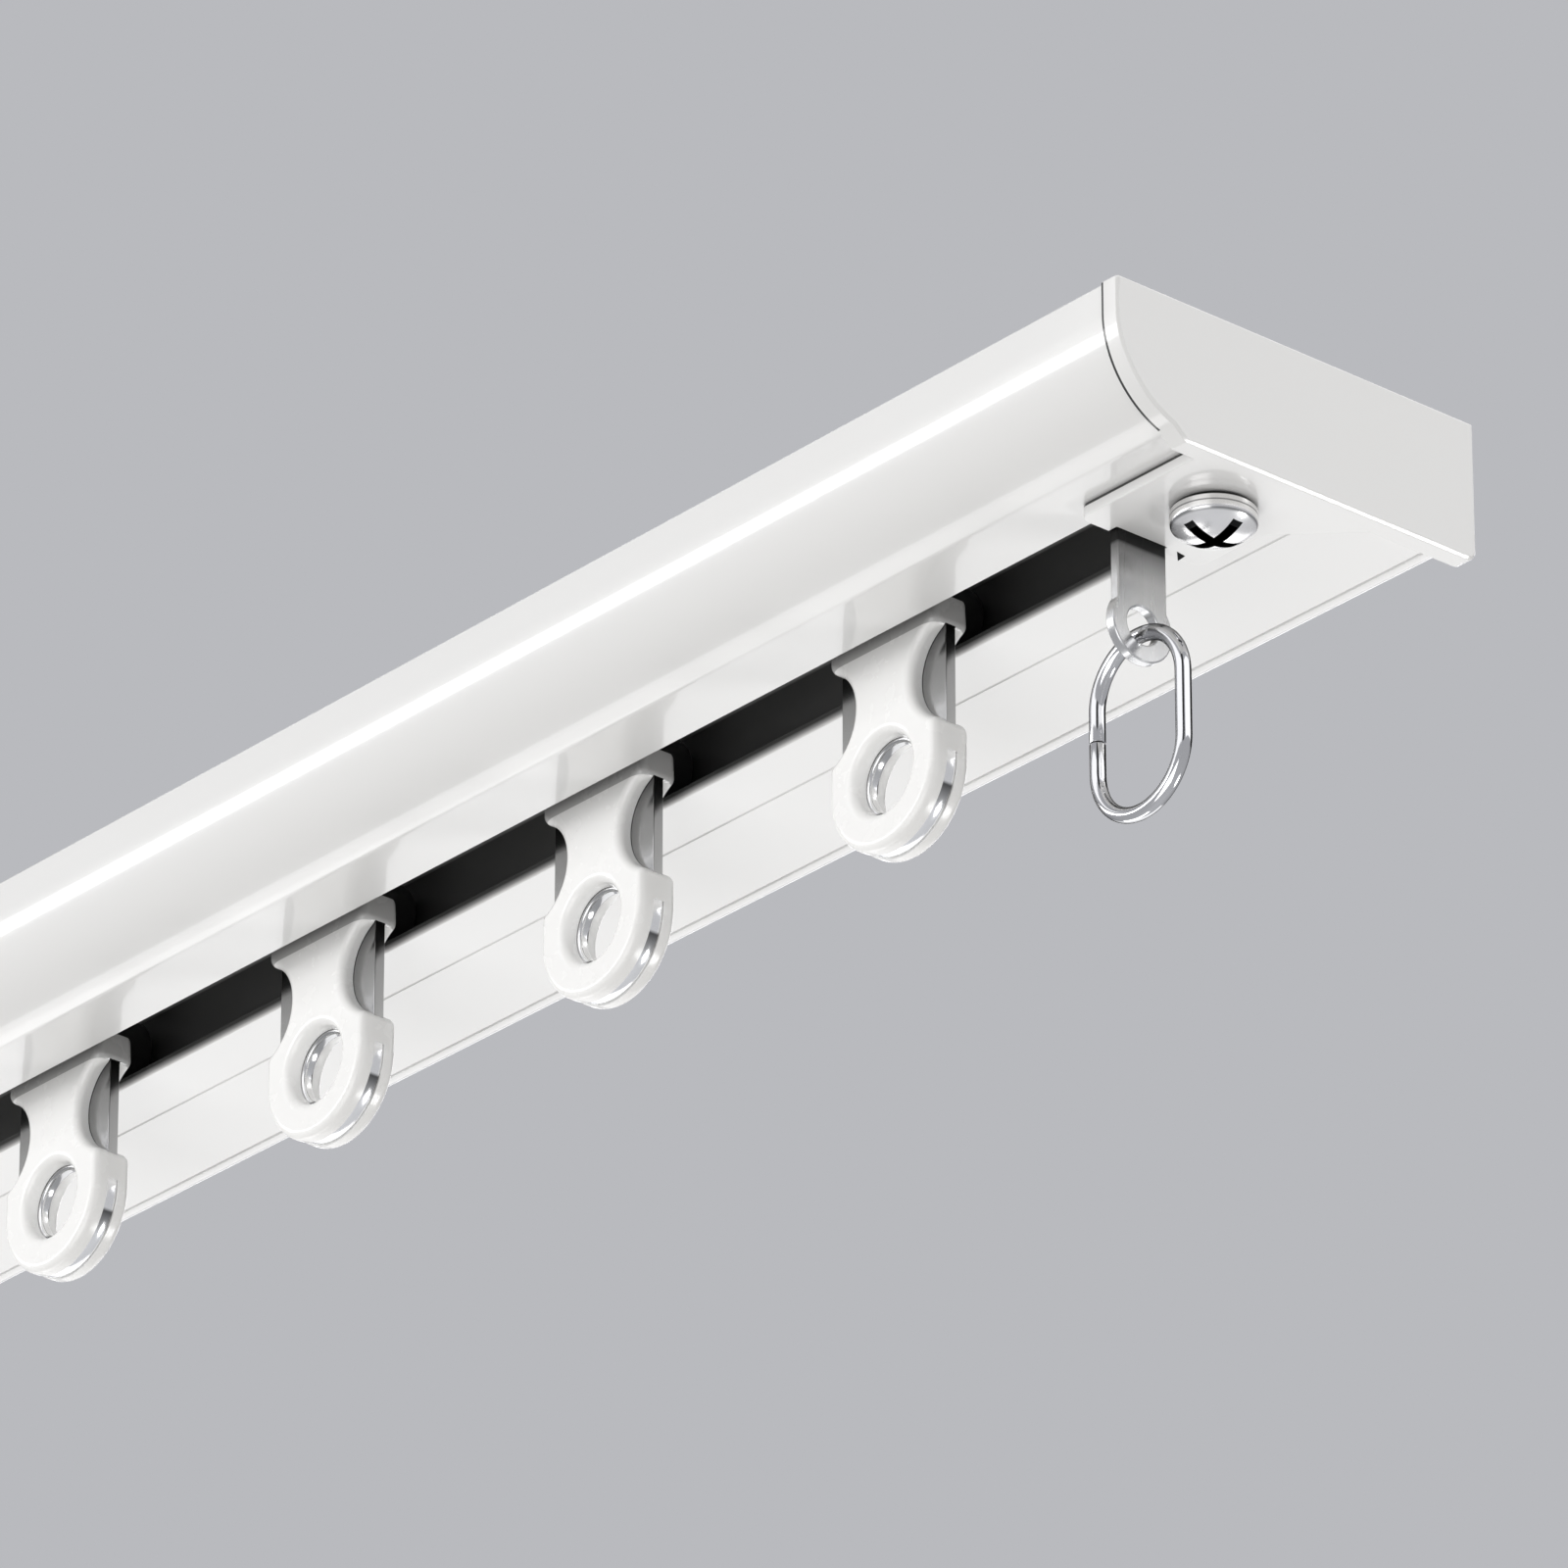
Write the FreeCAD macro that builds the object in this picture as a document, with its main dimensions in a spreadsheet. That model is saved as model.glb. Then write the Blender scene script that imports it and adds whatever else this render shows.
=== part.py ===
import FreeCAD, Part
import math
import os
import types

import Sketcher

V = FreeCAD.Vector
doc = FreeCAD.newDocument("ceiling_curtain_track")

# Frame of the track: X along the rail, the curved front looks to -Y, Z up.
# The origin is on the rail's top face, over the middle of the slot and of the length.

# Driving sizes in millimetres: name, value, what it is
TABLE = [
    ("rail_length", 316.0, "extruded rail without its end caps"),
    ("rail_height", 11.7, "top face to flat underside"),
    ("rear_reach", 22.8, "slot centre to the rear wall's outer face"),
    ("front_radius", 9.05, "outer radius of the curved front"),
    ("front_arc_back", 7.47, "slot centre to the centre of the front curve"),
    ("front_arc_drop", 2.95, "top face to the centre of the front curve"),
    ("rear_corner", 1.6, "rounding of the rear bottom corner"),
    ("side_wall", 1.2, "front, rear and channel walls"),
    ("lip_wall", 1.1, "underside and the two lips that carry the wheels"),
    ("roof_wall", 1.2, "roof of the front and rear chambers"),
    ("channel_roof", 2.2, "thicker roof over the channel, for the ceiling screws"),
    ("channel_width", 16.4, "inside of the track channel"),
    ("slot_width", 7.45, "gap between the lips"),
    ("slot_edge", 0.3, "rounding of the slot's lower edges"),
    ("groove_width", 0.36, "fine lines in the underside"),
    ("groove_depth", 0.25, "fine lines in the underside"),
    ("groove_near", 9.76, "slot centre to the first fine line"),
    ("groove_rear", 2.2, "rear wall's outer face to the second fine line"),
    ("ceiling_hole", 4.5, "through hole for a ceiling screw"),
    ("ceiling_head", 7.4, "mouth of the countersink"),
    ("ceiling_sink", 1.45, "depth of the countersink"),
    ("ceiling_spacing", 189.0, "between the two ceiling screws"),
    ("flange", 2.0, "thickness of an end cap's plate"),
    ("cap_front_margin", 0.25, "how far the cap stands out in front of the rail"),
    ("cap_rear_margin", 0.7, "how far the cap stands out behind the rail"),
    ("cap_corner", 1.0, "rounding of the cap's rear bottom corner"),
    ("cap_step_reach", 9.2, "slot centre to the top of the step under the front curve"),
    ("cap_edge", 0.25, "bevel of the cap's outer rim"),
    ("plug_depth", 8.0, "how far a cap's plugs reach into the chambers"),
    ("plug_play", 0.15, "clearance of a plug in its chamber"),
    ("tongue_length", 14.0, "tongue under the rail, from the cap's plate"),
    ("tongue_width", 13.5, "tongue under the rail"),
    ("tongue_thick", 1.2, "tongue under the rail"),
    ("tongue_corner", 1.0, "rounding of the tongue's free corners"),
    ("tongue_flare", 6.2, "sloping shoulder from the tongue to the cap's plate, on the rear side"),
    ("notch_play", 0.1, "clearance of the strip in the tongue's notch"),
    ("clamp_thick", 1.0, "sheet of the clamp strip"),
    ("clamp_width", 13.0, "head of the clamp strip, across both lips"),
    ("clamp_length", 10.6, "head of the clamp strip, along the rail"),
    ("clamp_bend", 1.3, "outer radius of the bend"),
    ("leg_width", 5.4, "leg of the clamp strip"),
    ("leg_side", 0.6, "how far the leg stands in front of the slot's centre"),
    ("eye_drop", 9.4, "underside to the centre of the strip's eye"),
    ("eye_radius", 3.3, "round end of the strip"),
    ("eye_hole", 3.5, "hole of the strip's eye"),
    ("screw_back", 7.4, "cap's outer face to the clamp screw"),
    ("screw_side", 0.5, "how far the screw stands behind the slot's centre"),
    ("screw_thread", 3.9, "shank of the clamp screw"),
    ("screw_length", 6.0, "shank under the head"),
    ("screw_head", 7.4, "pan head"),
    ("screw_head_tall", 3.1, "pan head"),
    ("screw_rim", 1.6, "tongue to the lower end of the head's straight rim"),
    ("screw_slope", 0.3, "bevel of the head against the tongue"),
    ("screw_play", 0.4, "clearance of the screw in the tongue and the strip"),
    ("cross_reach", 5.8, "cross recess, tip to tip"),
    ("cross_arm", 1.05, "cross recess, width of an arm"),
    ("cross_depth", 1.7, "cross recess, from the top of the head"),
    ("nut_width", 7.0, "square nut, across flats"),
    ("nut_thick", 2.2, "square nut"),
    ("thread_play", 0.05, "gap kept in place of the thread"),
    ("ring_width", 11.9, "oval ring, outside"),
    ("ring_tall", 17.6, "oval ring, outside"),
    ("ring_wire", 1.4, "oval ring's wire"),
    ("wire_flats", 12, "sides that stand for the wire's round section"),
    ("ring_seam", 0.1, "butt gap where the wire closes"),
    ("ring_play", 0.3, "wire over the bottom of the eye"),
    ("runner_count", 4, "runners in the track"),
    ("runner_first", 44.25, "rail end at +X to the first runner"),
    ("runner_pitch", 38.1, "spacing of the runners"),
    ("wheel_radius", 3.5, "tread of a wheel"),
    ("wheel_play", 0.2, "tread over the lip"),
    ("wheel_outer", 6.7, "slot centre to a wheel's outer face"),
    ("wheel_side", 0.15, "gap between a wheel and the plastic body"),
    ("axle_radius", 1.0, "axle of a pair of wheels"),
    ("axle_play", 0.05, "axle in the plate's hole"),
    ("axle_end", 0.4, "axle beyond the wheels"),
    ("plate_thick", 1.1, "steel plate of a runner"),
    ("plate_width", 13.0, "steel plate below the lips"),
    ("plate_neck", 8.4, "steel plate beside the axle"),
    ("plate_shoulder", 9.9, "top face to the plate's lower shoulder"),
    ("plate_taper", 1.6, "height of the plate's sloping shoulder"),
    ("plate_head", 3.2, "axle to the plate's top"),
    ("plate_nip", 1.5, "cut corners of the plate's top"),
    ("plate_hole", 6.3, "steel eyelet"),
    ("eyelet_drop", 11.75, "underside to the centre of the runner's round end"),
    ("hole_lift", 0.15, "eyelet hole over the centre of the round end"),
    ("mould_width", 13.6, "plastic body of a runner"),
    ("mould_thick", 4.1, "plastic body of a runner"),
    ("mould_rise", 3.0, "plastic body above the rail's underside"),
    ("mould_hole", 7.05, "eyelet in the plastic, at the steel plate"),
    ("mould_dish", 0.4, "how much wider the plastic eyelet is at its mouth"),
    ("waist_width", 7.3, "plastic body at its waist"),
    ("waist_radius", 4.85, "hollow of the waist"),
    ("waist_drop", 4.2, "underside to the waist"),
    ("web_top", 8.5, "underside to the top of the side webs"),
    ("web_bottom", 11.4, "underside to the bottom of the side webs"),
    ("head_web", 0.2, "underside up to the webs of the plastic head"),
]


class Term:
    """A size with its value and the formula that the document keeps for it."""

    def __init__(self, value, formula):
        self.value = float(value)
        self.formula = formula

    def __add__(self, other):
        other = term(other)
        return Term(self.value + other.value, f"({self.formula} + {other.formula})")

    def __sub__(self, other):
        other = term(other)
        return Term(self.value - other.value, f"({self.formula} - {other.formula})")

    def __mul__(self, other):
        other = term(other)
        return Term(self.value * other.value, f"({self.formula} * {other.formula})")

    def __truediv__(self, other):
        other = term(other)
        return Term(self.value / other.value, f"({self.formula} / {other.formula})")

    def __neg__(self):
        return Term(-self.value, f"(0 - {self.formula})")


def term(number):
    if isinstance(number, Term):
        return number
    return Term(number, f"({float(number)})")


def fill_sheet():
    """Writes the driving sizes to the sheet and returns them as terms."""
    sheet = doc.addObject("Spreadsheet::Sheet", "Sizes")
    sizes = types.SimpleNamespace()
    for row, (name, value, note) in enumerate(TABLE, start=1):
        sheet.set(f"A{row}", name)
        sheet.set(f"B{row}", str(value))
        sheet.set(f"C{row}", note)
        sheet.setAlias(f"B{row}", name)
        setattr(sizes, name, Term(value, f"Sizes.{name}"))
    doc.recompute()
    return sizes


S = fill_sheet()
ZERO = term(0)
UNDERSIDE = -S.rail_height
LIP_TOP = UNDERSIDE + S.lip_wall
TONGUE_FACE = UNDERSIDE - S.tongue_thick
RAIL_END = S.rail_length / 2
CAP_FACE = RAIL_END + S.flange
TONGUE_END = RAIL_END - S.tongue_length
AXLE = LIP_TOP + S.wheel_play + S.wheel_radius
ROUND_END = UNDERSIDE - S.eyelet_drop
EYELET = ROUND_END + S.hole_lift


def bind(item, prop, value):
    item.setExpression(prop, term(value).formula)


def new_body(label):
    body = doc.addObject("PartDesign::Body", label)
    body.Label = label
    return body


def sketch_on(body, role, offset=ZERO):
    """A sketch on one of the body's own origin planes, moved along the plane's normal."""
    sketch = body.newObject("Sketcher::SketchObject", body.Name + "_sketch")
    plane = next(f for f in body.Origin.OriginFeatures if f.Role == role)
    sketch.AttachmentSupport = [(plane, "")]
    sketch.MapMode = "FlatFace"
    bind(sketch, "AttachmentOffset.Base.z", offset)
    return sketch


def drive(sketch, kind, geometry, position, value):
    """Holds one coordinate of a sketch point at a formula, measured from the origin."""
    index = sketch.addConstraint(Sketcher.Constraint(kind, -1, 1, geometry, position, value.value))
    sketch.setExpression(f"Constraints[{index}]", value.formula)


def drive_radius(sketch, geometry, radius):
    index = sketch.addConstraint(Sketcher.Constraint("Radius", geometry, radius.value))
    sketch.setExpression(f"Constraints[{index}]", radius.formula)


def outline(sketch, corners, arcs=None, closed=True):
    """Lines and arcs through corners.

    A corner is (a, b) or (a, b, "a") or (a, b, "b"), where the letter names the one coordinate
    that is driven because an arc settles the other. arcs maps the number of an edge to
    (centre a, centre b, radius, turn), with turn 1 counter-clockwise and -1 clockwise.
    """
    arcs = arcs or {}
    first = sketch.GeometryCount
    count = len(corners)
    edges = count if closed else count - 1
    ends = []
    for number in range(edges):
        start = V(corners[number][0].value, corners[number][1].value, 0)
        end = V(corners[(number + 1) % count][0].value, corners[(number + 1) % count][1].value, 0)
        if number not in arcs:
            sketch.addGeometry(Part.LineSegment(start, end), False)
            ends.append((1, 2))
            continue
        centre_a, centre_b, radius, turn = arcs[number]
        centre = V(centre_a.value, centre_b.value, 0)
        if turn < 0:
            start, end = end, start
        angles = [math.atan2(p.y - centre.y, p.x - centre.x) for p in (start, end)]
        if angles[1] <= angles[0]:
            angles[1] += 2 * math.pi
        circle_edge = Part.Circle(centre, V(0, 0, 1), radius.value)
        sketch.addGeometry(Part.ArcOfCircle(circle_edge, *angles), False)
        ends.append((1, 2) if turn > 0 else (2, 1))
    for number in range(edges if closed else edges - 1):
        after = (number + 1) % edges
        joint = (first + number, ends[number][1], first + after, ends[after][0])
        sketch.addConstraint(Sketcher.Constraint("Coincident", *joint))
    for number, corner in enumerate(corners):
        edge, side = (number, 0) if number < edges else (number - 1, 1)
        kept = corner[2] if len(corner) > 2 else "ab"
        if "a" in kept:
            drive(sketch, "DistanceX", first + edge, ends[edge][side], corner[0])
        if "b" in kept:
            drive(sketch, "DistanceY", first + edge, ends[edge][side], corner[1])
    for number, (centre_a, centre_b, radius, turn) in arcs.items():
        drive(sketch, "DistanceX", first + number, 3, centre_a)
        drive(sketch, "DistanceY", first + number, 3, centre_b)
        drive_radius(sketch, first + number, radius)


def rectangle(sketch, a_low, b_low, a_high, b_high):
    outline(sketch, [(a_low, b_low), (a_high, b_low), (a_high, b_high), (a_low, b_high)])


def circle(sketch, a, b, radius):
    number = sketch.addGeometry(Part.Circle(V(a.value, b.value, 0), V(0, 0, 1), radius.value), False)
    drive(sketch, "DistanceX", number, 3, a)
    drive(sketch, "DistanceY", number, 3, b)
    drive_radius(sketch, number, radius)


def feature(body, kind, sketch, length, reverse=False, both=False):
    made = body.newObject(f"PartDesign::{kind}", f"{body.Name}_{kind.lower()}")
    made.Profile = sketch
    made.SideType = "Symmetric" if both else "One side"
    made.Reversed = reverse
    bind(made, "Length", length)
    return made


def pad(body, sketch, length, **options):
    return feature(body, "Pad", sketch, length, **options)


def pocket(body, sketch, length, **options):
    """Cuts, and stops the build if nothing was cut away."""
    doc.recompute()
    before = body.Tip.Shape.Volume
    made = feature(body, "Pocket", sketch, length, **options)
    doc.recompute()
    if made.Shape.isNull() or not made.Shape.Volume < before:
        raise RuntimeError(f"{made.Name} cuts nothing")
    return made


def dress(body, kind, size, choose):
    """Rounds or bevels the edges of the body that choose accepts."""
    doc.recompute()
    base = body.Tip
    names = [f"Edge{n}" for n, edge in enumerate(base.Shape.Edges, start=1) if choose(edge)]
    made = body.newObject(f"PartDesign::{kind}", f"{body.Name}_{kind.lower()}")
    made.Base = (base, names)
    bind(made, "Radius" if kind == "Fillet" else "Size", size)
    return made


def near(first, second, reach=1e-4):
    return abs(first - second) < reach


def middle(edge):
    return edge.BoundBox.Center


def chamber_outlines(sketch, play):
    """The front and rear chambers of the rail's section, drawn smaller by play on each side."""
    channel_wall = S.channel_width / 2 + S.side_wall + play
    roof = -S.roof_wall - play
    floor = LIP_TOP + play
    inner = S.front_radius - S.side_wall - play
    front = -S.front_arc_back - inner
    bend = (-S.front_arc_back, -S.front_arc_drop, inner, 1)
    foot = term(-math.sqrt(inner.value**2 - (channel_wall.value - S.front_arc_back.value) ** 2))
    corners = [
        (-channel_wall, roof),
        (front, roof),
        (front, -S.front_arc_drop, "b"),
        (-channel_wall, foot - S.front_arc_drop, "a"),
    ]
    outline(sketch, corners, {2: bend})
    rectangle(sketch, channel_wall, floor, S.rear_reach - S.side_wall - play, roof)


def front_outline(margin, foot):
    """Corners and curve of the front, from the top edge down to the height foot."""
    radius = S.front_radius + margin
    drop = term(foot.value + S.front_arc_drop.value)
    reach = math.sqrt(radius.value**2 - drop.value**2)
    front = -S.front_arc_back - radius
    corners = [
        (front, ZERO),
        (front, -S.front_arc_drop, "b"),
        (term(-S.front_arc_back.value - reach), foot, "b"),
    ]
    return corners, {1: (-S.front_arc_back, -S.front_arc_drop, radius, 1)}


def build_rail():
    body = new_body("rail")
    section = sketch_on(body, "YZ_Plane")
    corners, arcs = front_outline(ZERO, UNDERSIDE)
    slot, channel = S.slot_width / 2, S.channel_width / 2
    corners += [
        (-slot, UNDERSIDE),
        (-slot, LIP_TOP),
        (-channel, LIP_TOP),
        (-channel, -S.channel_roof),
        (channel, -S.channel_roof),
        (channel, LIP_TOP),
        (slot, LIP_TOP),
        (slot, UNDERSIDE),
    ]
    for line in (S.groove_near, S.rear_reach - S.groove_rear):
        corners += [
            (line - S.groove_width / 2, UNDERSIDE),
            (line, UNDERSIDE + S.groove_depth),
            (line + S.groove_width / 2, UNDERSIDE),
        ]
    rear, corner = S.rear_reach, S.rear_corner
    arcs[len(corners)] = (rear - corner, UNDERSIDE + corner, corner, 1)
    corners += [
        (rear - corner, UNDERSIDE, "a"),
        (rear, UNDERSIDE + corner, "b"),
        (rear, ZERO),
    ]
    outline(section, corners, arcs)
    chamber_outlines(section, ZERO)
    pad(body, section, S.rail_length, both=True)

    drill_ceiling_holes(body)
    dress(body, "Fillet", S.slot_edge, lambda edge: on_slot_edge(edge))
    return body


def on_slot_edge(edge):
    place = middle(edge)
    along = edge.BoundBox.XLength > S.rail_length.value / 2
    return along and near(place.z, UNDERSIDE.value) and near(abs(place.y), S.slot_width.value / 2)


def drill_ceiling_holes(body):
    """Two countersunk holes in the channel's roof, with their mouths towards the slot."""
    through = sketch_on(body, "XY_Plane")
    sink = sketch_on(body, "XY_Plane", -S.channel_roof)
    for side in (-1, 1):
        circle(through, S.ceiling_spacing / 2 * side, ZERO, S.ceiling_hole / 2)
        circle(sink, S.ceiling_spacing / 2 * side, ZERO, S.ceiling_head / 2)
    pocket(body, through, S.channel_roof)
    cone = pocket(body, sink, S.ceiling_sink, reverse=True)
    slope = math.atan2((S.ceiling_head.value - S.ceiling_hole.value) / 2, S.ceiling_sink.value)
    cone.TaperAngle = -math.degrees(slope)
    doc.recompute()


def build_cap(label, side):
    """End cap for the rail end at side: plate, two plugs and the tongue under the rail."""
    body = new_body(label)
    left = side < 0
    plate = sketch_on(body, "YZ_Plane", RAIL_END * side)
    corners, arcs = front_outline(S.cap_front_margin, UNDERSIDE)
    rear, corner = S.rear_reach + S.cap_rear_margin, S.cap_corner
    corners.append((-S.cap_step_reach, TONGUE_FACE))
    arcs[len(corners)] = (rear - corner, TONGUE_FACE + corner, corner, 1)
    corners += [
        (rear - corner, TONGUE_FACE, "a"),
        (rear, TONGUE_FACE + corner, "b"),
        (rear, ZERO),
    ]
    outline(plate, corners, arcs)
    pad(body, plate, S.flange, reverse=left)
    dress(body, "Chamfer", S.cap_edge, lambda edge: on_rim(edge, CAP_FACE.value * side))

    plugs = sketch_on(body, "YZ_Plane", RAIL_END * side)
    chamber_outlines(plugs, S.plug_play)
    pad(body, plugs, S.plug_depth, reverse=not left)

    tongue = sketch_on(body, "YZ_Plane", RAIL_END * side)
    rectangle(tongue, -S.tongue_width / 2, TONGUE_FACE, S.tongue_width / 2, UNDERSIDE)
    pad(body, tongue, S.tongue_length, reverse=not left)
    dress(body, "Fillet", S.tongue_corner, lambda edge: on_tongue_corner(edge, TONGUE_END.value * side))
    flare = sketch_on(body, "XY_Plane", TONGUE_FACE)
    beside = S.tongue_width / 2
    shoulder = [
        (RAIL_END * side, beside),
        (RAIL_END * side, beside + S.tongue_flare),
        ((RAIL_END - S.tongue_flare) * side, beside),
    ]
    outline(flare, shoulder)
    pad(body, flare, S.tongue_thick)

    notch = sketch_on(body, "YZ_Plane", TONGUE_END * side)
    half = S.leg_width / 2 + S.notch_play
    rectangle(notch, -S.leg_side - half, TONGUE_FACE, -S.leg_side + half, UNDERSIDE)
    pocket(body, notch, S.clamp_thick, reverse=not left)

    hole = sketch_on(body, "XY_Plane", TONGUE_FACE)
    circle(hole, (CAP_FACE - S.screw_back) * side, S.screw_side, S.screw_thread / 2 + S.screw_play)
    pocket(body, hole, S.tongue_thick, reverse=True)
    return body


def on_rim(edge, place):
    """The outer rim of a cap's plate, apart from its top edge against the ceiling."""
    box = edge.BoundBox
    return box.XLength < 1e-4 and near(box.XMin, place) and box.ZMin < -1e-3


def on_tongue_corner(edge, place):
    box = edge.BoundBox
    upright = box.XLength < 1e-4 and box.YLength < 1e-4
    return upright and near(box.XMin, place) and box.ZMin < UNDERSIDE.value - 1e-3


def build_clamp_strip(label, side):
    """Folded sheet: a wide head on the lips and a leg with an eye down through the slot."""
    body = new_body(label)
    leg_face = TONGUE_END * side
    leg_back = (TONGUE_END + S.clamp_thick) * side
    half = S.leg_width / 2
    head = sketch_on(body, "XY_Plane", LIP_TOP)
    wings = (TONGUE_END + S.clamp_bend) * side
    far = (TONGUE_END + S.clamp_bend + S.clamp_length) * side
    corners = [
        (leg_face, -S.leg_side - half),
        (wings, -S.leg_side - half),
        (wings, -S.clamp_width / 2),
        (far, -S.clamp_width / 2),
        (far, S.clamp_width / 2),
        (wings, S.clamp_width / 2),
        (wings, -S.leg_side + half),
        (leg_face, -S.leg_side + half),
    ]
    outline(head, corners)
    pad(body, head, S.clamp_thick)

    leg = sketch_on(body, "YZ_Plane", leg_face)
    eye = UNDERSIDE - S.eye_drop
    rectangle(leg, -S.leg_side - half, eye, -S.leg_side + half, LIP_TOP)
    pad(body, leg, S.clamp_thick, reverse=side < 0)
    disc = sketch_on(body, "YZ_Plane", leg_face)
    circle(disc, -S.leg_side, eye, S.eye_radius)
    pad(body, disc, S.clamp_thick, reverse=side < 0)

    hole = sketch_on(body, "YZ_Plane", leg_face)
    circle(hole, -S.leg_side, eye, S.eye_hole / 2)
    pocket(body, hole, S.clamp_thick, reverse=side > 0)
    bore = sketch_on(body, "XY_Plane", LIP_TOP)
    circle(bore, (CAP_FACE - S.screw_back) * side, S.screw_side, S.screw_thread / 2 + S.screw_play)
    pocket(body, bore, S.clamp_thick, reverse=True)

    top = LIP_TOP + S.clamp_thick
    dress(body, "Fillet", S.clamp_bend, lambda edge: along_y(edge, leg_face, top))
    dress(body, "Fillet", S.clamp_bend - S.clamp_thick, lambda edge: along_y(edge, leg_back, LIP_TOP))
    return body


def build_clamp_plate(label, side):
    """Flat plate on the lips at the end without a ring."""
    body = new_body(label)
    blank = sketch_on(body, "XY_Plane", LIP_TOP)
    near_end = (TONGUE_END + S.clamp_bend) * side
    far_end = (TONGUE_END + S.clamp_bend + S.clamp_length) * side
    half = S.clamp_width / 2
    rectangle(blank, near_end, -half, far_end, half)
    circle(blank, (CAP_FACE - S.screw_back) * side, S.screw_side, S.screw_thread / 2 + S.screw_play)
    pad(body, blank, S.clamp_thick)
    return body


def along_y(edge, x, z):
    box = edge.BoundBox
    return box.XLength < 1e-4 and box.ZLength < 1e-4 and near(box.XMin, x.value) and near(box.ZMin, z.value)


def build_screw(side):
    """Pan head screw, driven up through the tongue and the strip into the nut."""
    body = new_body("clamp_screw")
    profile = sketch_on(body, "XZ_Plane")
    head, rim, shank = S.screw_head / 2, TONGUE_FACE - S.screw_rim, S.screw_thread / 2
    crown = TONGUE_FACE - S.screw_head_tall
    dome_drop = S.screw_head_tall - S.screw_rim
    dome = (head * head + dome_drop * dome_drop) / (dome_drop * 2)
    corners = [
        (ZERO, crown, "a"),
        (head, rim, "a"),
        (head, TONGUE_FACE - S.screw_slope),
        (head - S.screw_slope, TONGUE_FACE),
        (shank, TONGUE_FACE),
        (shank, TONGUE_FACE + S.screw_length),
        (ZERO, TONGUE_FACE + S.screw_length),
    ]
    outline(profile, corners, {0: (ZERO, crown + dome, dome, 1)})
    turned = body.newObject("PartDesign::Revolution", "clamp_screw_turned")
    turned.Profile = profile
    turned.ReferenceAxis = (profile, ["V_Axis"])

    cross = sketch_on(body, "XY_Plane", crown)
    tip, arm = S.cross_reach / 2, S.cross_arm / 2
    quarter = [(tip, -arm), (tip, arm), (arm, arm)]
    corners = []
    for _ in range(4):
        corners += quarter
        quarter = [(-b, a) for a, b in quarter]
    outline(cross, corners)
    pocket(body, cross, S.cross_depth, reverse=True)
    bind(body, "Placement.Base.x", (CAP_FACE - S.screw_back) * side)
    bind(body, "Placement.Base.y", S.screw_side)
    return body


def build_nut(side):
    """Square nut on the head of the clamp strip."""
    body = new_body("clamp_nut")
    block = sketch_on(body, "XY_Plane", LIP_TOP + S.clamp_thick)
    half = S.nut_width / 2
    rectangle(block, -half, -half, half, half)
    circle(block, ZERO, ZERO, S.screw_thread / 2 + S.thread_play)
    pad(body, block, S.nut_thick)
    bind(body, "Placement.Base.x", (CAP_FACE - S.screw_back) * side)
    bind(body, "Placement.Base.y", S.screw_side)
    return body


def build_group(label, bodies):
    group = doc.addObject("Part::Compound", label)
    group.Label = label
    group.Links = bodies
    return group


def wire_section(sketch, across):
    """The ring's wire cut through, at the distance across from the ring's middle line."""
    flats = int(S.wire_flats.value)
    reach = S.ring_wire / 2 / math.cos(math.pi / flats)
    corners = []
    for number in range(flats):
        angle = 2 * math.pi * (number + 0.5) / flats
        corners.append((across + reach * math.cos(angle), reach * math.sin(angle)))
    outline(sketch, corners)


def build_ring(label, side):
    """Oval ring bent from wire, hung in the strip's eye, with a butt seam in one leg."""
    body = new_body(label)
    bend = (S.ring_width - S.ring_wire) / 2
    top = UNDERSIDE - S.eye_drop - S.eye_hole / 2 + S.ring_wire / 2 + S.ring_play
    upper = top - bend
    lower = upper - (S.ring_tall - S.ring_width)
    for height, upwards in ((upper, True), (lower, False)):
        section = sketch_on(body, "XY_Plane", height)
        wire_section(section, -bend)
        half_turn = body.newObject("PartDesign::Revolution", label + "_bend")
        half_turn.Profile = section
        half_turn.ReferenceAxis = (section, ["V_Axis"])
        half_turn.Angle = 180
        half_turn.Reversed = not upwards
    leg = (upper - lower) / 2 - S.ring_seam / 2
    whole_leg = sketch_on(body, "XY_Plane", lower)
    wire_section(whole_leg, bend)
    pad(body, whole_leg, upper - lower)
    for height, down in ((upper, True), (lower, False)):
        half_leg = sketch_on(body, "XY_Plane", height)
        wire_section(half_leg, -bend)
        pad(body, half_leg, leg, reverse=down)
    bind(body, "Placement.Base.x", (TONGUE_END + S.clamp_thick / 2) * side)
    bind(body, "Placement.Base.y", -S.leg_side)
    return body


def plate_outline(sketch):
    """The steel plate of a runner: narrow head, sloping shoulders, straight sides, round end."""
    neck, half = S.plate_neck / 2, S.plate_width / 2
    shoulder, top = -S.plate_shoulder, AXLE + S.plate_head
    right = [
        (half, shoulder),
        (neck, shoulder + S.plate_taper),
        (neck, top - S.plate_nip),
        (neck - S.plate_nip, top),
    ]
    left = [(-a, b) for a, b in reversed(right)]
    corners = [(half, ROUND_END, "b")] + right + left + [(-half, ROUND_END, "b")]
    outline(sketch, corners, {len(corners) - 1: (ZERO, ROUND_END, half, 1)})


def build_plate(label, place):
    body = new_body(label)
    blank = sketch_on(body, "XZ_Plane")
    plate_outline(blank)
    circle(blank, ZERO, AXLE, S.axle_radius + S.axle_play)
    circle(blank, ZERO, EYELET, S.plate_hole / 2)
    pad(body, blank, S.plate_thick, both=True)
    bind(body, "Placement.Base.x", place)
    return body


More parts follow.
